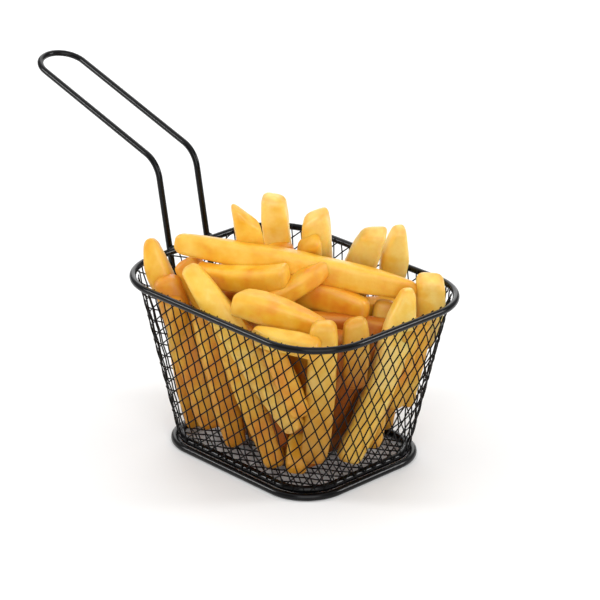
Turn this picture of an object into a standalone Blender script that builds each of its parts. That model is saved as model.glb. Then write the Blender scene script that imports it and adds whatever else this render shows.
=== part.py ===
"""A small wire serving basket with a looped handle, filled with a heap of thick-cut yam chips.

Blender 4.5, metres, +Z up. The origin is under the middle of the whole part, on the surface it stands on.
The basket's long sides run along Y and its handle leaves the short side at +Y. Sizes below are in
millimetres, measured from the middle of the basket's foot ring, and MM turns them into metres.
"""

import math

import bmesh
import bpy
from mathutils import Vector

MM = 0.001

# Rings: the rim at the top and the foot ring at the bottom, both rounded rectangles of round wire.
RIM_HALF_WIDTH = 50.0
RIM_HALF_LENGTH = 64.8
RIM_CORNER = 27.2
RIM_HEIGHT = 77.1
RIM_WIRE = 3.0
FOOT_HALF_WIDTH = 38.5
FOOT_HALF_LENGTH = 47.7
FOOT_CORNER = 19.8
FOOT_WIRE = 3.2
WIRE_SIDES = 8
CORNER_STEPS = 7

# Handle: one wire bent into a long loop, its two legs fixed outside the rim.
HANDLE_WIRE = 2.8
HANDLE_SPACING = 22.1
HANDLE_LEAN = math.radians(10.8)
HANDLE_BELOW_RIM = 14.0
HANDLE_KNEE_HEIGHT = 38.8
HANDLE_KNEE_RADIUS = 12.3
HANDLE_GRIP_TILT = math.radians(72.8)
HANDLE_GRIP_LENGTH = 91.7

# Cage: the woven wire cloth as a thin shell inside both rings, open at the top.
CLOTH_THICKNESS = 1.6
GAP = 0.3
CAGE_TOP_ABOVE_RIM = 0.6
CAGE_FLOOR = 1.2

# Chips: bars about 10 mm square. The heap's core is a low mound: heights, and distances in from the cloth.
CHIP_CLEARANCE = 0.8
CORE_LEVELS = ((5.0, 5.0), (60.0, 5.0), (70.0, 20.0))
CHIP_SIDES = 12
CHIP_CORNER_ROUNDING = 0.30
CHIP_END_ROUNDING = 2.6

# Each chip: its foot, its tip, its width and thickness, and the share of its width left at the tip.
NEAR_CHIPS = {
    "long_on_top": ((27, -48, 81), (-35, 37, 96), 12.5, 11.5, 0.6),
    "left_end": ((-35, 38, 66), (-35, 53, 93), 11.5, 9.5, 0.5),
    "left_stub": ((-31, 18, 13), (-40, 38, 81), 12.5, 9.5, 0.85),
    "pale_leaning": ((-37, -41, 34), (-42, 20, 92), 12, 9.5, 0.6),
    "behind_pale": ((-25, 18, 60), (-28, 38, 86), 14, 9.5, 0.8),
    "below_pale": ((-30, -14, 54), (-33, 16, 76), 11.5, 9.5, 0.82),
    "second_row": ((-15, -13, 89.5), (-33, 25, 85), 10, 10.5, 0.82),
    "crossing": ((-22, -6, 75.5), (-2, -20.5, 89.5), 11, 10, 0.95),
    "front_lying": ((-22, -43, 76), (-41, -9, 84.5), 13.5, 11.5, 0.88),
    "middle_lying": ((9, -37, 73), (-7, -4, 78), 12, 12, 0.82),
    "under_crossing": ((22, -14, 59), (-16, -1, 67), 12, 10, 0.82),
    "back_pointed": ((4, 22, 56), (-15, 14, 110), 11.5, 9.5, 0.85),
    "back_tall": ((14, 19, 60), (5, 17, 112.5), 11, 10, 0.92),
    "back_broad": ((25, 10, 60), (11, -2, 107), 12.5, 10.5, 0.85),
    "back_short": ((20, 13, 60), (7, -3, 97), 10.5, 9, 0.8),
    "back_low": ((6, 12, 60), (4, 13, 91.5), 13, 9, 0.9),
    "right_leaning": ((33, 1, 58), (28, -22, 101), 14, 10, 0.75),
    "right_pointed": ((47, -13, 60), (42, -23, 99), 12, 10, 0.35),
    "right_end": ((41, -40, 50), (31.5, -51.5, 87.5), 13, 10, 0.9),
    "right_yellow": ((-8, -42, 10), (18, -52, 86), 12.5, 9.5, 0.6),
    "front_corner": ((-27, -41, 16), (-26, -46, 82), 12.5, 9.5, 0.95),
    "front_right": ((-11, -49, 48), (-9, -47, 79), 11.5, 9, 0.88),
    "front_rim": ((-32, -50, 72), (-47, -24, 74.5), 9.5, 9, 0.82),
    "right_upright": ((6, -42, 12), (21, -35, 75), 11, 9, 0.82),
    "wall_left_a": ((-28, 33, 8), (-42, 30, 74), 10, 9, 0.82),
    "wall_left_b": ((-30, 4, 9), (-42, 13, 74), 11, 9, 0.82),
    "wall_left_c": ((-30, -22, 8), (-40, 2, 72), 11.5, 9, 0.82),
    "wall_left_d": ((-28, -23, 17), (-32, -4, 60), 10.5, 9, 0.82),
    "wall_left_e": ((-35, -42, 40), (-41, -29, 71), 10.5, 9, 0.82),
    "end_facing_out": ((-22, -27, 22), (-33, -37, 12), 11, 11, 0.9),
    "wall_right_a": ((17, -44, 29), (16, -55, 70), 10.5, 9, 0.82),
    "wall_right_b": ((25, -43, 27), (24, -54, 70), 10, 9, 0.82),
}
LYING_CHIPS = {
    "far_lying_a": ((-20, 46, 66), (24, 40, 72), 10, 9, 0.82),
    "far_lying_b": ((33, 45, 65), (9, 23, 72.5), 10, 9, 0.82),
    "far_lying_c": ((38, 18, 66), (-8, 34, 74), 10, 9, 0.82),
    "far_lying_d": ((36, -8, 64), (-1, 9, 71), 10, 9, 0.82),
    "far_lying_e": ((34, -30, 66), (2, -22, 70), 10, 9, 0.82),
    "near_lying_a": ((-2, -46, 64), (-30, -12, 70), 10, 9, 0.82),
    "near_lying_b": ((16, -44, 65), (-16, -20, 71), 10, 9, 0.82),
    "near_lying_c": ((-32, 44, 62), (-6, 14, 72), 10, 9, 0.82),
}
FAR_SIDE_CHIPS = 7
HANDLE_SIDE_CHIPS = 4


def clear_scene():
    for obj in list(bpy.data.objects):
        bpy.data.objects.remove(obj, do_unlink=True)


def material(name, color, roughness, metallic):
    made = bpy.data.materials.new(name)
    made.use_nodes = True
    shader = made.node_tree.nodes["Principled BSDF"]
    shader.inputs["Base Color"].default_value = (*color, 1.0)
    shader.inputs["Roughness"].default_value = roughness
    shader.inputs["Metallic"].default_value = metallic
    return made


def rounded_rectangle(half_width, half_length, corner, height):
    """Points of a rounded rectangle at one height, anticlockwise from above."""
    points = []
    centres = (
        (half_width - corner, half_length - corner),
        (corner - half_width, half_length - corner),
        (corner - half_width, corner - half_length),
        (half_width - corner, corner - half_length),
    )
    for quarter, (x, y) in enumerate(centres):
        for step in range(CORNER_STEPS + 1):
            angle = (quarter + step / CORNER_STEPS) * math.pi / 2
            points.append(Vector((x + corner * math.cos(angle), y + corner * math.sin(angle), height)))
    return points


def add(obj, parent, finish):
    bpy.context.scene.collection.objects.link(obj)
    obj.parent = parent
    if obj.data is not None:
        obj.data.materials.append(finish)
    return obj


def wire_object(name, points, diameter, closed, parent, finish):
    """A round wire along points, turned so that a flat side faces down."""
    curve = bpy.data.curves.new(name, "CURVE")
    curve.dimensions = "3D"
    curve.bevel_depth = diameter / 2 * MM
    curve.bevel_resolution = WIRE_SIDES // 4
    curve.use_fill_caps = True
    spline = curve.splines.new("POLY")
    spline.points.add(len(points) - 1)
    for target, point in zip(spline.points, points):
        target.co = (*(point * MM), 1.0)
        target.tilt = math.pi / WIRE_SIDES
    spline.use_cyclic_u = closed
    return add(bpy.data.objects.new(name, curve), parent, finish)


def foot_centre_height():
    """The flat side of the foot ring's wire lies on the ground."""
    return FOOT_WIRE / 2 * math.cos(math.pi / WIRE_SIDES)


def leg_offset():
    """Distance of the handle's legs from the basket's middle, at the height of the rim."""
    return RIM_HALF_LENGTH + (RIM_WIRE + HANDLE_WIRE) / 2 + GAP


def handle_profile():
    """(y, z) along one leg from its lower end, round the knee and up to the end loop, and the grip's direction."""
    leg = Vector((math.sin(HANDLE_LEAN), math.cos(HANDLE_LEAN)))
    grip = Vector((math.sin(HANDLE_GRIP_TILT), math.cos(HANDLE_GRIP_TILT)))
    at_rim = Vector((leg_offset(), RIM_HEIGHT))
    lower_end = at_rim - leg * (HANDLE_BELOW_RIM / leg.y)
    knee = at_rim + leg * (HANDLE_KNEE_HEIGHT / leg.y)
    turn = HANDLE_GRIP_TILT - HANDLE_LEAN
    knee_start = knee - leg * (HANDLE_KNEE_RADIUS * math.tan(turn / 2))
    inward = Vector((leg.y, -leg.x))
    points = [lower_end]
    knee_steps = 7
    for step in range(knee_steps + 1):
        angle = turn * step / knee_steps
        round_knee = inward * (1 - math.cos(angle)) + leg * math.sin(angle)
        points.append(knee_start + round_knee * HANDLE_KNEE_RADIUS)
    apex = knee + grip * HANDLE_GRIP_LENGTH
    return points, apex, grip


def handle_points():
    """The whole handle wire, from the lower end of one leg to the other's."""
    side = HANDLE_SPACING / 2
    profile, apex, grip = handle_profile()
    loop_centre = apex - grip * side
    left = [Vector((-side, y, z)) for y, z in profile]
    right = [Vector((side, y, z)) for y, z in reversed(profile)]
    loop = []
    loop_steps = 12
    for step in range(loop_steps + 1):
        angle = math.pi * step / loop_steps
        y, z = loop_centre + grip * (side * math.sin(angle))
        loop.append(Vector((-side * math.cos(angle), y, z)))
    return left + loop + right


def basket_offset():
    """How far the basket's middle lies from the whole part's middle, along Y."""
    _, apex, _ = handle_profile()
    back = apex.x + HANDLE_WIRE / 2
    front = RIM_HALF_LENGTH + RIM_WIRE / 2
    return (front - back) / 2


def wall_ring(height, inset):
    """The wall's outline at a height, moved inward from the rings' centre line."""
    share = (height - foot_centre_height()) / (RIM_HEIGHT - foot_centre_height())
    half_width = FOOT_HALF_WIDTH + (RIM_HALF_WIDTH - FOOT_HALF_WIDTH) * share
    half_length = FOOT_HALF_LENGTH + (RIM_HALF_LENGTH - FOOT_HALF_LENGTH) * share
    corner = FOOT_CORNER + (RIM_CORNER - FOOT_CORNER) * share
    return rounded_rectangle(half_width - inset, half_length - inset, corner - inset, height)


def lofted_mesh(name, rings):
    """A closed mesh through rings of equal length, with a flat face on the first and the last."""
    mesh = bmesh.new()
    loops = [[mesh.verts.new(point * MM) for point in ring] for ring in rings]
    for lower, upper in zip(loops, loops[1:]):
        count = len(lower)
        for i in range(count):
            j = (i + 1) % count
            mesh.faces.new((lower[i], lower[j], upper[j], upper[i]))
    mesh.faces.new(reversed(loops[0]))
    mesh.faces.new(loops[-1])
    bmesh.ops.recalc_face_normals(mesh, faces=mesh.faces)
    data = bpy.data.meshes.new(name)
    mesh.to_mesh(data)
    mesh.free()
    return data


def cage_mesh():
    """The wire cloth's walls and floor as one thin shell, open at the top."""
    ring_radius = max(RIM_WIRE, FOOT_WIRE) / 2
    outer = ring_radius + GAP
    inner = outer + CLOTH_THICKNESS
    top = RIM_HEIGHT + CAGE_TOP_ABOVE_RIM
    floor_top = CAGE_FLOOR + CLOTH_THICKNESS
    rings = [
        wall_ring(CAGE_FLOOR, outer),
        wall_ring(top, outer),
        wall_ring(top, inner),
        wall_ring(floor_top, inner),
    ]
    return lofted_mesh("mesh_cage", rings)


def chip_mesh(name, foot, tip, width, thickness, tip_share):
    """A bar with rounded edges and softened ends, from its foot to its tip."""
    foot, tip = Vector(foot), Vector(tip)
    length = (tip - foot).length
    along = (tip - foot).normalized()
    upright = Vector((0, 0, 1)) if abs(along.z) < 0.6 else Vector((0.69, 0.72, 0))
    across = along.cross(upright).normalized()
    outward = across.cross(along)
    ends = CHIP_END_ROUNDING / length
    stations = ((0, 0.68), (ends, 1), (0.6, 1), (1 - ends, 1), (1, 0.68))
    rings = []
    for share, scale in stations:
        narrowing = 1 - (1 - tip_share) * max(0, share - 0.5) / 0.5
        ring = []
        for side in range(CHIP_SIDES):
            angle = (side + 0.5) * 2 * math.pi / CHIP_SIDES
            bulge = 1 / max(abs(math.cos(angle)), abs(math.sin(angle)))
            reach = 1 + (bulge - 1) * (1 - CHIP_CORNER_ROUNDING)
            x = math.cos(angle) * reach * width / 2 * scale * narrowing
            y = math.sin(angle) * reach * thickness / 2 * scale
            ring.append(foot + along * (length * share) + across * x + outward * y)
        rings.append(ring)
    return lofted_mesh(name, rings)


def leaning_chips():
    """Two uneven rows of chips that lean on the walls at +X and at +Y."""
    rows = {}
    for i in range(FAR_SIDE_CHIPS):
        y = -26 + 11 * i
        foot = (27 + 2 * math.cos(i), y, 8)
        tip = (37, y + 4 * math.sin(2.1 * i), 64 + 3 * math.cos(1.7 * i))
        rows[f"far_side_{i}"] = (foot, tip, 10, 9, 0.82)
    for i in range(HANDLE_SIDE_CHIPS):
        x = -12 + 13 * i
        tip = (x + 4 * math.cos(1.9 * i), 50, 63 + 4 * math.sin(1.3 * i))
        rows[f"handle_side_{i}"] = ((x, 37, 8), tip, 10, 9, 0.82)
    return rows


def helper(name, data, parent):
    """An object that only takes part in Booleans."""
    obj = bpy.data.objects.new(name, data)
    bpy.context.scene.collection.objects.link(obj)
    obj.parent = parent
    obj.hide_render = True
    obj.display_type = "WIRE"
    return obj


def chips_object(parent, finish):
    """The heap: a core and every chip joined, kept clear of the cage and the rim."""
    cloth_inside = max(RIM_WIRE, FOOT_WIRE) / 2 + GAP + CLOTH_THICKNESS
    core = [wall_ring(height, cloth_inside + inset) for height, inset in CORE_LEVELS]
    heap = add(bpy.data.objects.new("chips", lofted_mesh("chips", core)), parent, finish)
    chips = {**NEAR_CHIPS, **LYING_CHIPS, **leaning_chips()}
    for name, chip in chips.items():
        bar = helper("bar_" + name, chip_mesh(name, *chip), parent)
        join = heap.modifiers.new(name, "BOOLEAN")
        join.operation = "UNION"
        join.object = bar
    limit = cloth_inside + CHIP_CLEARANCE
    floor = CAGE_FLOOR + CLOTH_THICKNESS + CHIP_CLEARANCE
    above = max(max(chip[0][2], chip[1][2]) for chip in chips.values()) + 20
    rim_ring = wall_ring(RIM_HEIGHT, limit)
    room = [wall_ring(floor, limit), rim_ring, [Vector((p.x, p.y, above)) for p in rim_ring]]
    inside = helper("room_for_chips", lofted_mesh("room_for_chips", room), parent)
    trim = heap.modifiers.new("room", "BOOLEAN")
    trim.operation = "INTERSECT"
    trim.object = inside
    return heap


def build():
    clear_scene()
    black_wire = material("coated_wire", (0.012, 0.012, 0.014), 0.35, 0.0)
    black_cloth = material("coated_cloth", (0.010, 0.010, 0.011), 0.45, 0.0)
    golden = material("fried_chip", (0.86, 0.52, 0.12), 0.5, 0.0)

    basket = bpy.data.objects.new("basket_middle", None)
    bpy.context.scene.collection.objects.link(basket)
    basket.location = (0, basket_offset() * MM, 0)

    rim = rounded_rectangle(RIM_HALF_WIDTH, RIM_HALF_LENGTH, RIM_CORNER, RIM_HEIGHT)
    foot = rounded_rectangle(FOOT_HALF_WIDTH, FOOT_HALF_LENGTH, FOOT_CORNER, foot_centre_height())
    wire_object("rim_wire", rim, RIM_WIRE, True, basket, black_wire)
    wire_object("foot_wire", foot, FOOT_WIRE, True, basket, black_wire)
    wire_object("handle_wire", handle_points(), HANDLE_WIRE, False, basket, black_wire)
    add(bpy.data.objects.new("mesh_cage", cage_mesh()), basket, black_cloth)
    chips_object(basket, golden)


build()
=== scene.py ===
"""Looks of a small black wire basket heaped with thick-cut yam chips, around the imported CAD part.

Shapes are worked out in millimetres from the middle of the basket's foot ring, with +Z up and the
handle towards +Y. make_piece() turns them into the row frame's metres.
"""

import math

import bpy
import numpy as np
from mathutils import Matrix, Vector, noise


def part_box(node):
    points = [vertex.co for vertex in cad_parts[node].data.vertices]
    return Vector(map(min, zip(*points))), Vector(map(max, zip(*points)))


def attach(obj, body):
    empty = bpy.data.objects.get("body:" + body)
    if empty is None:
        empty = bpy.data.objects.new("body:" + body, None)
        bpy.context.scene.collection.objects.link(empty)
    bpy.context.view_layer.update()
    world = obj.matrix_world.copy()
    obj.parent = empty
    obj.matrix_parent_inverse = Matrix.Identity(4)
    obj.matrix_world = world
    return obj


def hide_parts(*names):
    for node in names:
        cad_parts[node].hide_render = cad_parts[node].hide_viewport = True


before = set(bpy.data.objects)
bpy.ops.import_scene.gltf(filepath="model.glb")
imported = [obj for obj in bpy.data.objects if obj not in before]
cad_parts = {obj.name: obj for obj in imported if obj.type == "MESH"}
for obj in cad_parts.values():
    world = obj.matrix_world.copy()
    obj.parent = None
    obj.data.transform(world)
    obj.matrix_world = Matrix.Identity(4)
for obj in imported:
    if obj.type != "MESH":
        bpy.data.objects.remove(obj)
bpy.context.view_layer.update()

MM = 0.001
RIM_LOW, RIM_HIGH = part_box("rim_wire")
BASKET_MIDDLE = np.array([(RIM_LOW.x + RIM_HIGH.x) / 2, (RIM_LOW.y + RIM_HIGH.y) / 2, 0.0])
UP = np.array([0.0, 0.0, 1.0])

# Rings. The CAD wires have eight flat sides, so their boxes reach a little less than their radius.
RIM_WIRE = 3.0
FOOT_WIRE = 3.2
HEM_WIRE = 3.4
FLAT_SHARE = math.cos(math.pi / 8)
RIM_CORNER = 27.2
FOOT_CORNER = 19.8
HEM_INSET = 3.7
HEM_HEIGHT = 3.6
WIRE_SIDES = 20

# Handle: the same loop as in CAD, with finer bends.
HANDLE_WIRE = 2.8
HANDLE_SPACING = 22.1
HANDLE_LEAN = math.radians(10.8)
HANDLE_BELOW_RIM = 14.0
HANDLE_KNEE_HEIGHT = 38.8
HANDLE_KNEE_RADIUS = 12.3
HANDLE_GRIP_TILT = math.radians(72.8)
HANDLE_GRIP_LENGTH = 91.7
HANDLE_GAP = 0.3

# Woven cloth. Its wires are straight where the tapered wall is laid flat. SHORTEST_WIRE is in steps.
CLOTH_WIRE = 0.62
CLOTH_LIFT = 0.16
CLOTH_SIDES = 6
CLOTH_INSET = 2.3
CLOTH_STEP = 1.0
CLOTH_FOOT = 2.6
FLOOR_HEIGHT = 3.1
FLOOR_DIRECTIONS = (math.radians(62), math.radians(122))
FLOOR_LINES = 12
FLOOR_REACH = 70
SHORTEST_WIRE = 5
STEEP = {"direction": math.radians(80.8), "spacing": 5.05, "over_rim": math.radians(8)}
FLAT = {"direction": math.radians(20.8), "spacing": 5.05, "over_rim": math.radians(28)}
LATTICE_POINT = np.array([73.56, 56.0])

# Chips.
CHIP_SIDES = 28
CHIP_STATIONS = 16
CHIP_SQUARENESS = 4.4
CHIP_END_SHARPNESS = 2.6
CHIP_END_ROUNDING = (2.8, 5.0)
CHIP_CLEARANCE = 3.3
CHIP_TAPER = 0.82
CHIP_TAPER_REACH = 24
CHIP_SLANT_REACH = 1.4
# How much painted shade a chip gets at the basket's floor, unless it sets its own.
CHIP_PAINTED_SHADE = 0.55
CHIP_SEED = 11
# How uneven chips are: each lump's height and size, and the most that a chip bends, rolls or
# narrows to one side.
CHIP_LUMPS = ((0.5, 15.0), (0.25, 6.5), (0.1, 2.6))
CHIP_UNEVENNESS = {"bow": 0.9, "sag": 0.7, "roll": 9.0, "wedge": 0.16}


def ring_size(node, wire):
    """Half width, half length and height of a ring's centre line, from its CAD node."""
    low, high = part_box(node)
    reach = wire / 2 * FLAT_SHARE
    half_width = (high.x - low.x) / 2 / MM - reach
    half_length = (high.y - low.y) / 2 / MM - reach
    return half_width, half_length, (low.z + high.z) / 2 / MM


RIM_HALF_WIDTH, RIM_HALF_LENGTH, RIM_HEIGHT = ring_size("rim_wire", RIM_WIRE)
FOOT_HALF_WIDTH, FOOT_HALF_LENGTH, FOOT_HEIGHT = ring_size("foot_wire", FOOT_WIRE)


# ------------------------------------------------------------------ pieces


def make_piece(name, parts, material, replaces=()):
    """One object from parts, each (points in mm, faces, values per point by name)."""
    points = []
    faces = []
    values = {}
    for part_points, part_faces, part_values in parts:
        start = len(points)
        points.extend(part_points * MM + BASKET_MIDDLE)
        faces.extend(tuple(start + corner for corner in face) for face in part_faces)
        for key, numbers in part_values.items():
            values.setdefault(key, []).extend(numbers)
    mesh = bpy.data.meshes.new(name)
    mesh.from_pydata(points, [], faces)
    mesh.shade_smooth()
    for key, numbers in values.items():
        mesh.attributes.new(key, "FLOAT", "POINT").data.foreach_set("value", numbers)
    mesh.materials.append(material)
    piece = bpy.data.objects.new(name, mesh)
    bpy.context.scene.collection.objects.link(piece)
    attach(piece, "root")
    if replaces:
        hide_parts(*replaces)
    return piece


def unit(vectors):
    return vectors / np.linalg.norm(vectors, axis=-1, keepdims=True)


def grid_faces(rows, columns, closed):
    """Four-sided faces of a tube whose points lie row by row, each row a loop of columns."""
    faces = []
    for row in range(rows if closed else rows - 1):
        this = row * columns
        following = (row + 1) % rows * columns
        for column in range(columns):
            beside = (column + 1) % columns
            faces.append((this + column, this + beside, following + beside, following + column))
    return faces


def pole_faces(rows, columns):
    """Triangles that close a tube's two ends onto the two points that follow its rows."""
    first_pole = rows * columns
    last_pole = first_pole + 1
    last_row = (rows - 1) * columns
    faces = []
    for column in range(columns):
        beside = (column + 1) % columns
        faces.append((first_pole, beside, column))
        faces.append((last_pole, last_row + column, last_row + beside))
    return faces


def tube(path, radius, sides, outward, closed=False):
    """A round wire along path. outward is a direction, or one for each point, that isn't along it."""
    path = np.asarray(path, float)
    if closed:
        along = unit(np.roll(path, -1, axis=0) - np.roll(path, 1, axis=0))
    else:
        along = unit(np.gradient(path, axis=0))
    across = unit(np.cross(along, outward))
    normal = np.cross(across, along)
    radii = np.full(len(path), radius)
    if not closed:
        # Two more rows at each end round it off.
        tucks = np.array([0.62, 0.3])
        shrink = np.array([0.55, 0.87])
        head = path[0] - along[0] * radius * tucks[:, None]
        tail = path[-1] + along[-1] * radius * tucks[::-1, None]
        path = np.concatenate([head, path, tail])
        radii = np.concatenate([radius * shrink, radii, radius * shrink[::-1]])
        across = np.concatenate([across[:1], across[:1], across, across[-1:], across[-1:]])
        normal = np.concatenate([normal[:1], normal[:1], normal, normal[-1:], normal[-1:]])
    turns = np.arange(sides) * 2 * math.pi / sides
    spokes = (
        across[:, None] * np.cos(turns)[None, :, None]
        + normal[:, None] * np.sin(turns)[None, :, None]
    )
    points = (path[:, None] + spokes * radii[:, None, None]).reshape(-1, 3)
    faces = grid_faces(len(path), sides, closed)
    if not closed:
        poles = [path[0] - along[0] * radius * 0.25, path[-1] + along[-1] * radius * 0.25]
        points = np.concatenate([points, poles])
        faces += pole_faces(len(path), sides)
    return points, faces, {}


def rounded_rectangle(half_width, half_length, corner, height, corner_steps=24, side_steps=20):
    """Points of a rounded rectangle, anticlockwise from the middle of the side at +Y."""
    inner_x = half_width - corner
    inner_y = half_length - corner
    middles = ((0, 1), (-1, 0), (0, -1), (1, 0))
    points = []
    for quarter, (x, y) in enumerate(middles):
        angle = (quarter + 1) * math.pi / 2
        start = np.array([x * half_width, y * half_length])
        centre = np.array([inner_x * (x - y if x else -y), inner_y * (y if y else x)])
        end = centre + corner * np.array([math.cos(angle), math.sin(angle)])
        for share in np.arange(side_steps) / side_steps:
            points.append(start + (end - start) * share)
        for share in np.arange(corner_steps) / corner_steps:
            turned = angle + share * math.pi / 2
            points.append(centre + corner * np.array([math.cos(turned), math.sin(turned)]))
        following = middles[(quarter + 1) % 4]
        turned = angle + math.pi / 2
        start = centre + corner * np.array([math.cos(turned), math.sin(turned)])
        end = np.array([following[0] * half_width, following[1] * half_length])
        for share in np.arange(side_steps) / side_steps:
            points.append(start + (end - start) * share)
    flat = np.array(points)
    return np.column_stack([flat, np.full(len(flat), float(height))])


def share_up_wall(height):
    return (height - FOOT_HEIGHT) / (RIM_HEIGHT - FOOT_HEIGHT)


def wall_size(share):
    """The wall's half width, half length and corner radius at a share of the way up."""
    half_width = FOOT_HALF_WIDTH + (RIM_HALF_WIDTH - FOOT_HALF_WIDTH) * share
    half_length = FOOT_HALF_LENGTH + (RIM_HALF_LENGTH - FOOT_HALF_LENGTH) * share
    return half_width, half_length, FOOT_CORNER + (RIM_CORNER - FOOT_CORNER) * share


def wall_ring(height, inset):
    """The wall's outline at a height, moved inward from the rings' centre line."""
    half_width, half_length, corner = wall_size(share_up_wall(height))
    return rounded_rectangle(half_width - inset, half_length - inset, corner - inset, height)


# ------------------------------------------------------------------ rings and handle


def ring_piece(name, path, wire, material, replaces=()):
    part = tube(path, wire / 2, WIRE_SIDES, UP, closed=True)
    return make_piece(name, [part], material, replaces)


def arc(centre, start, turn, radius, steps):
    """Points round centre from start, both in the plane that start and turn span."""
    angles = np.linspace(0, math.pi, steps)
    return centre + radius * (np.outer(np.cos(angles), start) + np.outer(np.sin(angles), turn))


def handle_path():
    """The whole handle wire, from the lower end of one leg to the other's, and its grip's normal."""
    side = HANDLE_SPACING / 2
    leg = np.array([0, math.sin(HANDLE_LEAN), math.cos(HANDLE_LEAN)])
    grip = np.array([0, math.sin(HANDLE_GRIP_TILT), math.cos(HANDLE_GRIP_TILT)])
    offset = RIM_HALF_LENGTH + (RIM_WIRE + HANDLE_WIRE) / 2 + HANDLE_GAP
    at_rim = np.array([0, offset, RIM_HEIGHT])
    lower_end = at_rim - leg * (HANDLE_BELOW_RIM / leg[2])
    knee = at_rim + leg * (HANDLE_KNEE_HEIGHT / leg[2])
    turn = HANDLE_GRIP_TILT - HANDLE_LEAN
    reach = HANDLE_KNEE_RADIUS * math.tan(turn / 2)
    knee_start = knee - leg * reach
    inward = np.array([0, leg[2], -leg[1]])
    profile = [lower_end + (knee_start - lower_end) * share for share in np.arange(24) / 24]
    for angle in np.linspace(0, turn, 14):
        bend = inward * (1 - math.cos(angle)) + leg * math.sin(angle)
        profile.append(knee_start + bend * HANDLE_KNEE_RADIUS)
    apex = knee + grip * HANDLE_GRIP_LENGTH
    loop_centre = apex - grip * side
    knee_end = profile[-1]
    profile += [knee_end + (loop_centre - knee_end) * share for share in np.arange(1, 24) / 24]
    left = np.array(profile) - [side, 0, 0]
    right = left[::-1] * [-1, 1, 1]
    loop = arc(loop_centre, np.array([-1.0, 0, 0]), grip, side, 28)
    return np.concatenate([left, loop, right]), np.cross(grip, [1.0, 0, 0])


def weld(centre, size, seed):
    """A small uneven bead of metal."""
    rows, columns = 9, 14
    points = []
    for row in range(1, rows + 1):
        tilt = math.pi * row / (rows + 1)
        for column in range(columns):
            turn = 2 * math.pi * column / columns
            ray = Vector((math.sin(tilt) * math.cos(turn), math.sin(tilt) * math.sin(turn), math.cos(tilt)))
            uneven = 1 + 0.12 * noise.noise(ray * 1.7 + Vector((seed, 0, 0)))
            points.append(np.array(ray) * size * uneven + centre)
    points.append(centre + np.array([0, 0, size[2]]))
    points.append(centre - np.array([0, 0, size[2]]))
    faces = [face[::-1] for face in grid_faces(rows, columns, False) + pole_faces(rows, columns)]
    return np.array(points), faces, {}


def handle_parts():
    path, normal = handle_path()
    parts = [tube(path, HANDLE_WIRE / 2, WIRE_SIDES, normal)]
    for seed, side in enumerate((-1, 1)):
        between = RIM_HALF_LENGTH + RIM_WIRE / 2 + HANDLE_GAP / 2
        centre = np.array([side * HANDLE_SPACING / 2, between, RIM_HEIGHT])
        parts.append(weld(centre, np.array([1.9, 1.3, 2.1]), seed))
    return parts


# ------------------------------------------------------------------ woven cloth


def unroll(foot, rim):
    """The wall's straight lines from foot to rim, laid flat side by side: both ends of each."""

    def beside(a, b, from_a, from_b):
        gap = b - a
        span = math.hypot(*gap)
        ahead = gap / span
        reach = (from_a**2 - from_b**2 + span**2) / (2 * span)
        off = math.sqrt(max(from_a**2 - reach**2, 0))
        return a + ahead * reach + np.array([ahead[1], -ahead[0]]) * off

    distance = np.linalg.norm
    low = [np.array([0.0, 0.0])]
    high = [np.array([0.0, distance(rim[0] - foot[0])])]
    for i in range(len(foot) - 1):
        a, b = low[-1], high[-1]
        nearer = beside(a, b, distance(foot[i + 1] - foot[i]), distance(foot[i + 1] - rim[i]))
        further = beside(
            nearer, b, distance(rim[i + 1] - foot[i + 1]), distance(rim[i + 1] - rim[i])
        )
        low.append(nearer)
        high.append(further)
    return np.array(low), np.array(high)


def cross_flat(a, b):
    return a[..., 0] * b[..., 1] - a[..., 1] * b[..., 0]


def closed_ring(height, inset):
    ring = wall_ring(height, inset)
    return np.concatenate([ring, ring[:1]])


class Wall:
    """The tapered wall: places on its flat pattern turned into places on the basket."""

    def __init__(self):
        self.low, self.high = unroll(closed_ring(FOOT_HEIGHT, 0), closed_ring(RIM_HEIGHT, 0))
        self.foot = closed_ring(CLOTH_FOOT, CLOTH_INSET)
        self.rim = closed_ring(RIM_HEIGHT, CLOTH_INSET)

    def place(self, flat):
        """Each flat point's strip, its share across the strip and its share up the wall."""
        rise = self.high - self.low
        offset = flat[:, None] - self.low[None]
        side = cross_flat(rise[None], offset)
        share_up = (offset * rise[None]).sum(-1) / (rise**2).sum(-1)[None]
        on_wall = (share_up > -0.03) & (share_up < 1.03)
        passes = (side[:, :-1] <= 0) & (side[:, 1:] > 0) & on_wall[:, :-1]
        strip = passes.argmax(1)
        found = passes.any(1)
        index = np.arange(len(flat))
        before, after = side[index, strip], side[index, strip + 1]
        across = before / (before - after)
        up = share_up[index, strip] * (1 - across) + share_up[index, strip + 1] * across
        return strip, across, up, found & (up >= 0) & (up <= 1)

    def on_basket(self, strip, across, up):
        """Points, outward normals and the directions along the rim."""
        across = across[:, None]
        up = up[:, None]
        foot = self.foot[strip] * (1 - across) + self.foot[strip + 1] * across
        rim = self.rim[strip] * (1 - across) + self.rim[strip + 1] * across
        round_foot = self.foot[strip + 1] - self.foot[strip]
        round_rim = self.rim[strip + 1] - self.rim[strip]
        round_way = unit(round_foot * (1 - up) + round_rim * up)
        normal = unit(np.cross(round_way, rim - foot))
        return foot + (rim - foot) * up, normal, round_way


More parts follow.
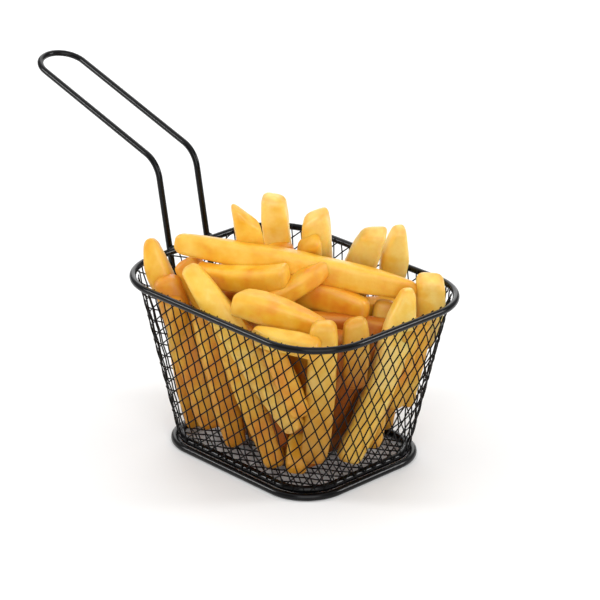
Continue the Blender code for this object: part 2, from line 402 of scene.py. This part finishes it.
def over_rim(points, round_way, reach):
    """A wire's end curled from the rim's inner side over its top, by reach radians."""
    last, before = points[-1], points[-3]
    heading = last - before
    drift = heading @ round_way / max(abs(heading[2]), 0.3)
    outward = unit(np.cross(round_way, UP))
    centre = last + outward * CLOTH_INSET
    centre[2] = RIM_HEIGHT
    wrap = (RIM_WIRE + CLOTH_WIRE) / 2
    curled = []
    normals = []
    for angle in np.linspace(0, reach, max(3, round(reach / 0.25)))[1:]:
        spoke = -outward * math.cos(angle) + UP * math.sin(angle)
        radius = wrap + (CLOTH_INSET - wrap) * max(0, 1 - angle / 0.6)
        curled.append(centre + spoke * radius + round_way * drift * wrap * angle)
        normals.append(-spoke)
    return np.array(curled), np.array(normals)


def wall_wires(wall, family, other, phase):
    """Every wire of one family of the wall's cloth, as tubes that pass over and under the other's."""
    corners = np.concatenate([wall.low, wall.high])
    along = np.array([math.cos(family["direction"]), math.sin(family["direction"])])
    across = np.array([-along[1], along[0]])
    other_across = np.array([-math.sin(other["direction"]), math.cos(other["direction"])])
    reach_across = (corners - LATTICE_POINT) @ across / family["spacing"]
    reach_along = (corners - LATTICE_POINT) @ along
    parts = []
    for line in range(math.floor(reach_across.min()), math.ceil(reach_across.max()) + 1):
        steps = np.arange(reach_along.min(), reach_along.max(), CLOTH_STEP)
        flat = LATTICE_POINT + across * line * family["spacing"] + np.outer(steps, along)
        strip, share, up, inside = wall.place(flat)
        counted = (flat - LATTICE_POINT) @ other_across / other["spacing"]
        wave = CLOTH_LIFT * np.cos(math.pi * (counted + line)) * phase
        edges = np.flatnonzero(np.diff(np.concatenate([[False], inside, [False]]).astype(int)))
        for first, end in edges.reshape(-1, 2):
            if end - first < SHORTEST_WIRE:
                continue
            run = slice(first, end)
            points, normals, round_way = wall.on_basket(strip[run], share[run], up[run])
            points = points + normals * wave[run, None]
            if up[first] > up[end - 1]:
                points, normals, round_way = points[::-1], normals[::-1], round_way[::-1]
            if max(up[first], up[end - 1]) > 0.97:
                curl, spokes = over_rim(points, round_way[-1], family["over_rim"])
                points = np.concatenate([points, curl])
                normals = np.concatenate([normals, spokes])
            parts.append(tube(points, CLOTH_WIRE / 2, CLOTH_SIDES, normals))
    return parts


def inside_rounded(points, half_width, half_length, corner):
    """How far points lie inside a rounded rectangle, with the way out, both level."""
    reach = np.abs(points[:, :2]) - np.stack([half_width - corner, half_length - corner], axis=-1)
    beyond = np.maximum(reach, 0)
    round_distance = np.linalg.norm(beyond, axis=1)
    distance = round_distance + np.minimum(reach.max(1), 0) - corner
    sideways = np.where(
        (round_distance > 0)[:, None],
        beyond,
        (reach == reach.max(1, keepdims=True)).astype(float),
    )
    return -distance, unit(sideways) * np.where(points[:, :2] < 0, -1, 1)


def floor_wires():
    """The floor's cloth: two families of level wires out to the hem."""
    half_width = FOOT_HALF_WIDTH - HEM_INSET
    half_length = FOOT_HALF_LENGTH - HEM_INSET
    corner = FOOT_CORNER - HEM_INSET
    parts = []
    spacing = STEEP["spacing"]
    for number, angle in enumerate(FLOOR_DIRECTIONS):
        along = np.array([math.cos(angle), math.sin(angle)])
        across = np.array([-along[1], along[0]])
        other = FLOOR_DIRECTIONS[1 - number]
        other_across = np.array([-math.sin(other), math.cos(other)])
        for line in range(-FLOOR_LINES, FLOOR_LINES + 1):
            steps = np.arange(-FLOOR_REACH, FLOOR_REACH, CLOTH_STEP)
            flat = across * line * spacing + np.outer(steps, along)
            inside = inside_rounded(flat, half_width, half_length, corner)[0] > 0
            if inside.sum() < SHORTEST_WIRE:
                continue
            flat = flat[inside]
            sign = 1 if number else -1
            wave = sign * CLOTH_LIFT * np.cos(math.pi * (flat @ other_across / spacing + line))
            path = np.column_stack([flat, FLOOR_HEIGHT + wave])
            parts.append(tube(path, CLOTH_WIRE / 2, CLOTH_SIDES, UP))
    return parts


# ------------------------------------------------------------------ chips

# Each chip: foot and tip, width and thickness, then what makes it its own shape.
# A chip's tone sets how pale or brown it is. The high tones of the back and right chips are partly painted
# light, and the low tones of the chips down in the gaps are partly painted shade.
NEAR_CHIPS = {
    "long_on_top": (
        (27, -48, 81), (-35, 37, 96), 13, 11.5,
        {"tip": 0.42, "tip_reach": 48, "foot": 0.3, "foot_reach": 32, "rounding": 5,
         "bow": 0.8, "sag": 0.6, "tone": 0.2},
    ),
    "left_end": (
        (-35, 38, 66), (-35, 53, 93), 11.5, 9.5,
        {"tip": 0.4, "tip_reach": 17, "slant": 0.2, "bow": 1.5, "tone": 0.0},
    ),
    "left_stub": ((-31, 18, 13), (-40, 38, 81), 12.5, 9.5, {"tip": 0.85, "tone": -0.8}),
    "pale_leaning": (
        (-37, -41, 34), (-42, 20, 92), 12, 9.5,
        {"tip": 0.6, "tip_reach": 26, "tone": 1.2, "painted_shade": 0.7},
    ),
    "behind_pale": ((-25, 18, 60), (-28, 38, 86), 14, 9.5, {"tip": 0.8, "tone": -0.5}),
    "below_pale": ((-30, -14, 54), (-33, 16, 76), 11.5, 9.5, {"tone": -1.2}),
    "second_row": (
        (-15, -13, 89.5), (-33, 25, 85), 10, 10.5,
        {"foot": 0.95, "foot_reach": 8, "rounding": 3, "sag": -2.5, "bow": 0, "roll": 12, "tone": 0.0},
    ),
    "crossing": (
        (-22, -6, 75.5), (-1.5, -21, 90), 11.5, 9,
        {"slant": -1.3, "tip": 0.55, "tip_reach": 16, "foot": 0.9, "rounding": 2.4, "tone": -0.5},
    ),
    "front_lying": (
        (-22, -43, 76), (-41, -9, 84.5), 13.5, 11.5,
        {"tip": 0.85, "tip_reach": 10, "foot": 0.5, "foot_reach": 26, "slant": -0.35,
         "sag": 0.6, "tone": -0.2},
    ),
    "middle_lying": (
        (9, -37, 73), (-7, -4, 78), 12, 12,
        {"foot": 0.6, "foot_reach": 16, "sag": 1.5, "tone": -0.8},
    ),
    "under_crossing": ((22, -14, 59), (-16, -1, 67), 12, 10, {"tone": -2.4, "painted_shade": 1.8}),
    "back_pointed": (
        (4, 22, 56), (-15, 14, 110), 11.5, 9.5,
        {"slant": 1.6, "tip": 0.85, "tip_reach": 12, "tone": 0.8},
    ),
    "back_tall": (
        (14, 19, 60), (4.5, 17, 112.5), 12, 10,
        {"slant": 0.3, "tip": 0.8, "tip_reach": 14, "rounding": 4, "bow": 0.8, "tone": 2.0},
    ),
    "back_broad": (
        (25, 10, 60), (11, -2, 107.5), 12.5, 10.5,
        {"slant": -0.7, "tip": 0.85, "tip_reach": 10, "tone": 2.0},
    ),
    "back_short": (
        (20, 13, 60), (7, -3, 97), 10.5, 9,
        {"tip": 0.8, "tip_reach": 12, "slant": -0.7, "tone": 0.8},
    ),
    "back_low": ((6, 12, 60), (4, 13, 91.5), 13, 9, {"tip": 0.9, "tip_reach": 8, "tone": -0.2}),
    "right_leaning": (
        (33, 1, 58), (28, -22, 101), 14, 10,
        {"slant": -0.5, "tip": 0.75, "tip_reach": 26, "tone": 2.3},
    ),
    "right_pointed": (
        (47, -13, 60), (42, -23, 99), 12, 10,
        {"tip": 0.35, "tip_reach": 18, "tone": 2.3},
    ),
    "right_end": (
        (41, -40, 50), (31.5, -51.5, 87.5), 13, 10,
        {"tip": 0.9, "tip_reach": 10, "slant": 0.2, "tone": 2.2},
    ),
    "right_yellow": (
        (-8, -42, 10), (18, -52, 86), 12.5, 9.5,
        {"tip": 0.4, "tip_reach": 18, "slant": -0.3, "bow": -2.5, "tone": 1.9, "painted_shade": 0.35},
    ),
    "front_corner": (
        (-27, -41, 16), (-26, -46, 82), 12.5, 9.5,
        {"slant": -0.1, "tip": 0.8, "tip_reach": 10, "rounding": 4, "tone": 1.2, "painted_shade": 0.9},
    ),
    "front_right": (
        (-11, -49, 48), (-9, -47, 79), 11.5, 9,
        {"slant": -0.25, "tip": 0.78, "tip_reach": 10, "rounding": 4, "tone": 0.7, "painted_shade": 2.0},
    ),
    "front_rim": ((-32, -50, 72), (-47, -24, 74.5), 9.5, 9, {"tone": 0.4}),
    "right_upright": ((6, -42, 12), (21, -35, 75), 11, 9, {"tone": 0.7, "painted_shade": 0.5}),
    "wall_left_a": ((-28, 33, 8), (-42, 30, 74), 10, 9, {"tone": -0.4}),
    "wall_left_b": ((-30, 4, 9), (-42, 13, 74), 11, 9, {"tone": -0.5}),
    "wall_left_c": ((-30, -22, 8), (-40, 2, 72), 11.5, 9, {"tone": -0.2}),
    "wall_left_d": ((-28, -23, 17), (-32, -4, 60), 10.5, 9, {"tone": -1.5, "painted_shade": 1.2}),
    "wall_left_e": ((-35, -42, 40), (-41, -29, 71), 10.5, 9, {}),
    "end_facing_out": ((-22, -27, 22), (-33, -37, 12), 11, 11, {"tip": 0.9, "tone": 0.3}),
    "wall_right_a": ((17, -44, 29), (16, -55, 70), 10.5, 9, {}),
    "wall_right_b": ((25, -43, 27), (24, -54, 70), 10, 9, {}),
}
LYING_CHIPS = {
    "far_lying_a": ((-20, 46, 66), (24, 40, 72), 10, 9, {"tone": -0.2}),
    "far_lying_b": ((33, 45, 65), (9, 23, 72.5), 10, 9, {"tone": -0.6}),
    "far_lying_c": ((38, 18, 66), (-8, 34, 74), 10, 9, {"tone": 0.3}),
    "far_lying_d": ((36, -8, 64), (-1, 9, 71), 10, 9, {"tone": -0.9}),
    "far_lying_e": ((34, -30, 66), (2, -22, 70), 10, 9, {"tone": -0.4, "painted_shade": 0.4}),
    "near_lying_a": ((-2, -46, 64), (-30, -12, 70), 10, 9, {"tone": -2.0, "painted_shade": 1.5}),
    "near_lying_b": ((16, -44, 65), (-16, -20, 71), 10, 9, {"tone": -2.6, "painted_shade": 1.8}),
    "near_lying_c": ((-32, 44, 62), (-6, 14, 72), 10, 9, {"tone": -0.9}),
}
INNER_LONG_CHIPS = 6
INNER_SHORT_CHIPS = 5
# The inner chips' deep orange is partly painted shade for the inside of the heap.
INNER_TONE = -2.6
FAR_SIDE_CHIPS = 7
HANDLE_SIDE_CHIPS = 4
CORE_LEVELS = ((6.0, 22.0), (30.0, 24.0), (54.0, 24.0), (60.0, 28.0))


def leaning_chips():
    """Uneven rows of chips: along the walls at +X and +Y, and behind the chips at the other two."""
    rows = {}
    for i in range(INNER_LONG_CHIPS):
        y = 46 - 11.5 * i
        foot = (-19 + 2 * math.sin(1.3 * i), y - 22, 9)
        tip = (-29 + 2 * math.cos(2.3 * i), y, 64 + 3 * math.sin(1.9 * i))
        tone = INNER_TONE + 0.6 * math.sin(2.7 * i)
        rows[f"inner_long_{i}"] = (foot, tip, 11, 9.5, {"tone": tone, "painted_shade": 0.8})
    for i in range(INNER_SHORT_CHIPS):
        x = -14 + 11 * i
        foot = (x - 5, -25 + 2 * math.sin(1.7 * i), 14)
        tip = (x + 4, -42, 62 + 3 * math.cos(2.1 * i))
        tone = INNER_TONE + 0.6 * math.cos(1.9 * i)
        rows[f"inner_short_{i}"] = (foot, tip, 11, 9.5, {"tone": tone, "painted_shade": 1.5})
    for i in range(FAR_SIDE_CHIPS):
        y = -26 + 11 * i
        foot = (27 + 2 * math.cos(i), y, 8)
        tip = (37, y + 4 * math.sin(2.1 * i), 64 + 3 * math.cos(1.7 * i))
        rows[f"far_side_{i}"] = (foot, tip, 10, 9, {})
    for i in range(HANDLE_SIDE_CHIPS):
        x = -12 + 13 * i
        tip = (x + 4 * math.cos(1.9 * i), 50, 63 + 4 * math.sin(1.3 * i))
        rows[f"handle_side_{i}"] = ((x, 37, 8), tip, 10, 9, {})
    return rows


def noise_at(points, size, seed):
    """Smooth noise between -1 and 1 at points in mm, with lumps of that size."""
    shift = Vector((seed * 13.7, seed * 7.3, seed * 3.1))
    return np.array([noise.noise(Vector(point / size) + shift) for point in points])


def kept_inside(points):
    """Points moved in to the cloth's inner side, where chips press against it."""
    size = wall_size(np.clip(share_up_wall(points[:, 2]), 0, 1))
    margin, outward = inside_rounded(points, *size)
    too_far = np.maximum(CHIP_CLEARANCE - margin, 0)
    moved = points.copy()
    moved[:, :2] -= outward * too_far[:, None]
    return moved


def deep_down(points):
    """How much painted shade a point gets: 1 at the basket's floor and less further up, where more light
    comes in.
    """
    return np.clip(1.05 - points[:, 2] / 85, 0, 1)


def chip(foot, tip, width, thickness, looks, seed, tone):
    """A fried chip: a bar with soft corners, rounded ends and an uneven surface."""
    foot, tip = np.array(foot, float), np.array(tip, float)
    length = np.linalg.norm(tip - foot)
    along = (tip - foot) / length
    upright = UP if abs(along[2]) < 0.6 else np.array([0.69, 0.72, 0])
    across = unit(np.cross(along, upright))
    outward = np.cross(across, along)
    roll = math.radians(looks.get("roll", 0))
    across, outward = (
        across * math.cos(roll) + outward * math.sin(roll),
        outward * math.cos(roll) - across * math.sin(roll),
    )

    rounding = min(looks["rounding"], length / 4)
    near_end = rounding * np.array([0.05, 0.14, 0.3, 0.52, 0.78, 1.0])
    middle = np.linspace(rounding, length - rounding, CHIP_STATIONS)[1:-1]
    stations = np.concatenate([near_end, middle, length - near_end[::-1]])
    rows = len(stations)
    from_end = np.minimum(stations, length - stations)
    depth = 1 - np.minimum(from_end / rounding, 1)
    scale = (1 - depth**CHIP_END_SHARPNESS) ** (1 / CHIP_END_SHARPNESS)

    turns = (np.arange(CHIP_SIDES) + 0.5) * 2 * math.pi / CHIP_SIDES
    cosine, sine = np.cos(turns), np.sin(turns)
    power = CHIP_SQUARENESS
    reach = (np.abs(cosine) ** power + np.abs(sine) ** power) ** (-1 / power)
    share = stations / length
    taper = np.ones(rows)
    for end, distance in (("tip", length - stations), ("foot", stations)):
        nearness = np.clip(1 - distance / looks.get(end + "_reach", CHIP_TAPER_REACH), 0, 1)
        taper -= (1 - looks.get(end, CHIP_TAPER)) * nearness**1.6
    x = (cosine * reach)[None] * (width / 2 * scale * taper)[:, None]
    uneven = 1 + looks.get("wedge", 0) * cosine
    y = (sine * reach * uneven)[None] * (thickness / 2 * scale * (0.5 + taper / 2))[:, None]
    slanted = CHIP_SLANT_REACH * width
    near_tip = np.clip((stations - length + slanted) / slanted, 0, 1) ** 2
    shift = x * (looks.get("slant", 0) * near_tip)[:, None]
    bow = looks.get("bow", 0) * 4 * share * (1 - share)
    sag = looks.get("sag", 0) * 4 * share * (1 - share)
    centre = foot + np.outer(stations, along) + np.outer(bow, across) + np.outer(sag, outward)
    points = (
        centre[:, None]
        + x[..., None] * across
        + y[..., None] * outward
        + shift[..., None] * along
    )
    flat_points = points.reshape(-1, 3)
    poles = np.array([foot, tip])
    flat_points = np.concatenate([flat_points, poles])
    axis_points = np.concatenate([np.repeat(centre, CHIP_SIDES, axis=0), centre[[0]], centre[[-1]]])
    spokes = flat_points - axis_points
    spokes /= np.maximum(np.linalg.norm(spokes, axis=1, keepdims=True), 1e-6)
    lumps = sum(height * noise_at(flat_points, size, seed + size) for height, size in CHIP_LUMPS)
    flat_points = kept_inside(flat_points + spokes * lumps[:, None])

    # Painted highlight: paler along the chip's long corners, most where each corner sticks out furthest.
    corner = np.clip((reach - reach.min()) / (reach.max() - reach.min()), 0, 1) ** 2
    end_edge = np.exp(-(((scale - 0.8) / 0.16) ** 2)) * (from_end < rounding)
    edge_highlight = corner[None] * np.ones((rows, 1))
    crust = end_edge[:, None] * np.ones((1, CHIP_SIDES))
    ends = np.repeat(np.exp(-from_end / 5), CHIP_SIDES)
    count = len(flat_points)
    values = {
        "edge_highlight": np.concatenate([edge_highlight.ravel(), [0, 0]]),
        "crust": np.concatenate([crust.ravel(), [0, 0]]),
        "end": np.concatenate([ends, [1.0, 1.0]]),
        "tone": np.full(count, float(tone)),
        # Painted shade: more of it towards the basket's floor, scaled by the chip's own amount.
        "painted_shade": looks.get("painted_shade", CHIP_PAINTED_SHADE) * deep_down(flat_points),
    }
    faces = grid_faces(rows, CHIP_SIDES, False) + pole_faces(rows, CHIP_SIDES)
    return flat_points, faces, values


def chip_parts():
    chips = {**NEAR_CHIPS, **LYING_CHIPS, **leaning_chips()}
    random = np.random.default_rng(CHIP_SEED)
    parts = []
    for seed, (foot, tip, width, thickness, looks) in enumerate(chips.values()):
        tone = looks.get("tone", random.uniform(-0.5, 0.8))
        own = {name: random.uniform(-most, most) for name, most in CHIP_UNEVENNESS.items()}
        own["rounding"] = random.uniform(*CHIP_END_ROUNDING)
        parts.append(chip(foot, tip, width, thickness, {**own, **looks}, seed, tone))
    return parts


def core_parts():
    """A smaller mound under the chips, which only closes the gaps between them."""
    rings = [wall_ring(height, CLOTH_INSET + inset)[::4] for height, inset in CORE_LEVELS]
    columns = len(rings[0])
    points = np.concatenate(rings)
    points = points + 1.2 * noise_at(points, 8.0, 3)[:, None] * unit(points * [1, 1, 0])
    middle = [[0, 0, CORE_LEVELS[0][0]], [0, 0, CORE_LEVELS[-1][0] + 2]]
    points = np.concatenate([points, middle])
    faces = grid_faces(len(rings), columns, False) + pole_faces(len(rings), columns)
    count = len(points)
    values = {name: np.zeros(count) for name in ("edge_highlight", "crust", "end")}
    values["tone"] = -np.ones(count)
    # Painted shade on the mound as well, darker towards the floor.
    values["painted_shade"] = deep_down(points)
    return [(points, faces, values)]


# ------------------------------------------------------------------ materials


class Nodes:
    """Adds shader nodes to a new material, with few words."""

    def __init__(self, name):
        self.material = bpy.data.materials.new(name)
        self.material.use_nodes = True
        self.tree = self.material.node_tree
        self.shader = self.tree.nodes["Principled BSDF"]
        self.place = self.tree.nodes.new("ShaderNodeTexCoord").outputs["Object"]

    def link(self, source, target):
        self.tree.links.new(source, target)

    def noise(self, scale, detail=2.0, roughness=0.5):
        node = self.tree.nodes.new("ShaderNodeTexNoise")
        node.inputs["Scale"].default_value = scale
        node.inputs["Detail"].default_value = detail
        node.inputs["Roughness"].default_value = roughness
        self.link(self.place, node.inputs["Vector"])
        return node.outputs["Fac"]

    def value(self, name):
        node = self.tree.nodes.new("ShaderNodeAttribute")
        node.attribute_name = name
        return node.outputs["Fac"]

    def math(self, operation, a, b):
        node = self.tree.nodes.new("ShaderNodeMath")
        node.operation = operation
        for socket, given in zip(node.inputs, (a, b)):
            if isinstance(given, (int, float)):
                socket.default_value = given
            else:
                self.link(given, socket)
        return node.outputs[0]

    def ramp(self, factor, stops):
        node = self.tree.nodes.new("ShaderNodeValToRGB")
        ramp = node.color_ramp
        while len(ramp.elements) < len(stops):
            ramp.elements.new(0.5)
        for element, (position, color) in zip(ramp.elements, stops):
            element.position = position
            element.color = (*color, 1.0)
        self.link(factor, node.inputs["Fac"])
        return node.outputs["Color"]

    def mix(self, factor, a, b):
        node = self.tree.nodes.new("ShaderNodeMix")
        node.data_type = "RGBA"
        self.link(factor, node.inputs[0])
        for socket, given in zip((node.inputs[6], node.inputs[7]), (a, b)):
            if isinstance(given, tuple):
                socket.default_value = (*given, 1.0)
            else:
                self.link(given, socket)
        return node.outputs[2]

    def spread(self, factor, low, high):
        node = self.tree.nodes.new("ShaderNodeMapRange")
        node.inputs["To Min"].default_value = low
        node.inputs["To Max"].default_value = high
        self.link(factor, node.inputs["Value"])
        return node.outputs["Result"]

    def bump(self, height, strength, distance):
        node = self.tree.nodes.new("ShaderNodeBump")
        node.inputs["Strength"].default_value = strength
        node.inputs["Distance"].default_value = distance
        self.link(height, node.inputs["Height"])
        self.link(node.outputs["Normal"], self.shader.inputs["Normal"])


def coated_wire():
    """Black powder coating: faint orange peel, and slightly duller in patches."""
    n = Nodes("coated_wire")
    patches = n.noise(220, detail=3)
    n.link(n.ramp(patches, ((0.3, (0.001, 0.001, 0.001)), (0.7, (0.003, 0.003, 0.004)))),
           n.shader.inputs["Base Color"])
    n.link(n.spread(patches, 0.12, 0.24), n.shader.inputs["Roughness"])
    n.bump(n.noise(1500, detail=1), 0.25, 0.0001)
    n.shader.inputs["IOR"].default_value = 1.3
    return n.material


def coated_cloth():
    """The same coating on the thin woven wires, a little duller."""
    n = Nodes("coated_cloth")
    patches = n.noise(500, detail=3)
    n.link(n.ramp(patches, ((0.3, (0.002, 0.002, 0.002)), (0.7, (0.006, 0.005, 0.005)))),
           n.shader.inputs["Base Color"])
    n.link(n.spread(patches, 0.36, 0.55), n.shader.inputs["Roughness"])
    n.bump(n.noise(2500, detail=1), 0.2, 0.0001)
    n.shader.inputs["IOR"].default_value = 1.22
    return n.material


def fried_chip():
    """Golden fried surface: blotchy, with a painted highlight along its edges, browner round its ends,
    slightly oily, and painted shade deeper in the heap.
    """
    n = Nodes("fried_chip")
    broad = n.math("MULTIPLY", n.noise(55, detail=3), 0.6)
    blotches = n.math("ADD", broad, n.math("MULTIPLY", n.noise(170), 0.4))
    depth = n.math("ADD", n.spread(blotches, -0.35, 1.35), n.math("MULTIPLY", n.value("tone"), 0.22))
    body = n.ramp(depth, (
        (0.0, (0.62, 0.14, 0.003)),
        (0.25, (0.76, 0.29, 0.008)),
        (0.5, (0.83, 0.46, 0.026)),
        (0.8, (0.89, 0.61, 0.095)),
        (1.0, (0.93, 0.74, 0.220)),
    ))
    # Painted highlight: paler gold along the edges.
    with_edge_highlights = n.mix(n.math("MULTIPLY", n.value("edge_highlight"), 0.3), body, (0.93, 0.61, 0.12))
    toasted = n.math("MULTIPLY", n.value("end"), n.spread(n.noise(160), -0.2, 0.7))
    with_ends = n.mix(toasted, with_edge_highlights, (0.74, 0.30, 0.018))
    crusted = n.math("MULTIPLY", n.value("crust"), n.spread(n.noise(210), -0.1, 0.7))
    with_crust = n.mix(crusted, with_ends, (0.60, 0.24, 0.03))
    speckled = n.mix(n.spread(n.noise(900, detail=3), 0.0, 0.3), with_crust, (0.80, 0.37, 0.025))
    # Painted shade: the colour is mixed towards a dark brown by the shade value, which grows lower in the
    # heap.
    n.link(n.mix(n.value("painted_shade"), speckled, (0.26, 0.065, 0.006)), n.shader.inputs["Base Color"])
    # Painted shade on the reflections too: deep in the heap less of the bright room is mirrored.
    n.link(n.spread(n.value("painted_shade"), 0.5, 0.1), n.shader.inputs["Specular IOR Level"])
    n.link(n.spread(n.noise(300), 0.26, 0.52), n.shader.inputs["Roughness"])
    n.bump(n.noise(750, detail=3), 0.35, 0.0003)
    n.shader.inputs["Subsurface Weight"].default_value = 0.3
    n.shader.inputs["Subsurface Radius"].default_value = (1.0, 0.42, 0.10)
    n.shader.inputs["Subsurface Scale"].default_value = 0.002
    n.shader.inputs["IOR"].default_value = 1.5
    return n.material


# ------------------------------------------------------------------ stage


STAGE_HALF = 4.0
WORLD_STRENGTH = 0.42


def make_floor():
    mesh = bpy.data.meshes.new("floor")
    signs = ((-1, -1), (1, -1), (1, 1), (-1, 1))
    corners = [(x * STAGE_HALF, y * STAGE_HALF, 0) for x, y in signs]
    mesh.from_pydata(corners, [], [(0, 1, 2, 3)])
    floor = bpy.data.objects.new("floor", mesh)
    bpy.context.scene.collection.objects.link(floor)
    material = bpy.data.materials.new("pale_floor")
    material.use_nodes = True
    shader = material.node_tree.nodes["Principled BSDF"]
    shader.inputs["Base Color"].default_value = (0.92, 0.92, 0.92, 1.0)
    shader.inputs["Roughness"].default_value = 0.9
    shader.inputs["Specular IOR Level"].default_value = 0.1
    mesh.materials.append(material)


CAMERA_AZIMUTH = math.radians(-43.56)
CAMERA_ELEVATION = math.radians(22.94)
CAMERA_DISTANCE = 1219.4
CAMERA_LENS = 167.3
TARGET_HEIGHT = 30.0
TARGET_RIGHT = 2.99
TARGET_UP = 36.79


def view_axes():
    """The camera's right, up and back directions."""
    a, e = CAMERA_AZIMUTH, CAMERA_ELEVATION
    back = np.array([math.sin(a) * math.cos(e), -math.cos(a) * math.cos(e), math.sin(e)])
    right = np.array([math.cos(a), math.sin(a), 0])
    return right, np.cross(back, right), back


def make_camera():
    right, up, back = view_axes()
    target = np.array([0, 0, TARGET_HEIGHT]) + right * TARGET_RIGHT + up * TARGET_UP
    place = (target + back * CAMERA_DISTANCE) * MM + BASKET_MIDDLE
    data = bpy.data.cameras.new("camera")
    data.lens = CAMERA_LENS
    data.sensor_width = 36
    camera = bpy.data.objects.new("camera", data)
    camera.matrix_world = Matrix.Translation(place) @ Matrix((right, up, back)).transposed().to_4x4()
    bpy.context.scene.collection.objects.link(camera)
    bpy.context.scene.camera = camera


def make_light(name, ahead, left, height, size, power):
    """A square soft light, placed in metres from the basket as the camera sees it."""
    right, _, back = view_axes()
    level_back = unit(np.array([back[0], back[1], 0]))
    place = BASKET_MIDDLE - level_back * ahead - right * left + UP * height
    data = bpy.data.lights.new(name, "AREA")
    data.size = size
    data.energy = power
    light = bpy.data.objects.new(name, data)
    light.location = place
    towards = Vector(BASKET_MIDDLE + UP * 0.05 - place)
    light.rotation_mode = "QUATERNION"
    light.rotation_quaternion = towards.to_track_quat("-Z", "Y")
    bpy.context.scene.collection.objects.link(light)


def make_lights():
    world = bpy.data.worlds.new("studio")
    world.use_nodes = True
    shader = world.node_tree.nodes["Background"]
    shader.inputs["Color"].default_value = (1.0, 1.0, 1.0, 1.0)
    shader.inputs["Strength"].default_value = WORLD_STRENGTH
    bpy.context.scene.world = world
    make_light("overhead", ahead=0.1, left=0.1, height=1.2, size=1.8, power=6)
    make_light("back", ahead=1.0, left=0.0, height=0.5, size=0.9, power=4.5)
    make_light("front", ahead=-0.95, left=-0.1, height=0.55, size=0.9, power=6.3)
    make_light("left", ahead=0.0, left=1.1, height=0.6, size=0.32, power=5.0)
    make_light("right", ahead=0.0, left=-1.1, height=0.6, size=0.32, power=5.0)


def main():
    bpy.context.scene.view_settings.view_transform = "Standard"
    wire = coated_wire()
    cloth = coated_cloth()
    golden = fried_chip()

    ring_piece("rim_ring", wall_ring(RIM_HEIGHT, 0), RIM_WIRE, wire, ["rim_wire"])
    ring_piece("foot_ring", wall_ring(FOOT_WIRE / 2, 0), FOOT_WIRE, wire, ["foot_wire"])
    ring_piece("hem_ring", wall_ring(HEM_HEIGHT, HEM_INSET), HEM_WIRE, wire)
    make_piece("handle_loop", handle_parts(), wire, ["handle_wire"])

    wall = Wall()
    wires = wall_wires(wall, STEEP, FLAT, 1) + wall_wires(wall, FLAT, STEEP, -1)
    make_piece("cloth_walls", wires, cloth, ["mesh_cage"])
    make_piece("cloth_floor", floor_wires(), cloth)

    make_piece("yam_chips", chip_parts(), golden, ["chips"])
    make_piece("chips_core", core_parts(), golden)

    make_floor()
    make_camera()
    make_lights()


main()
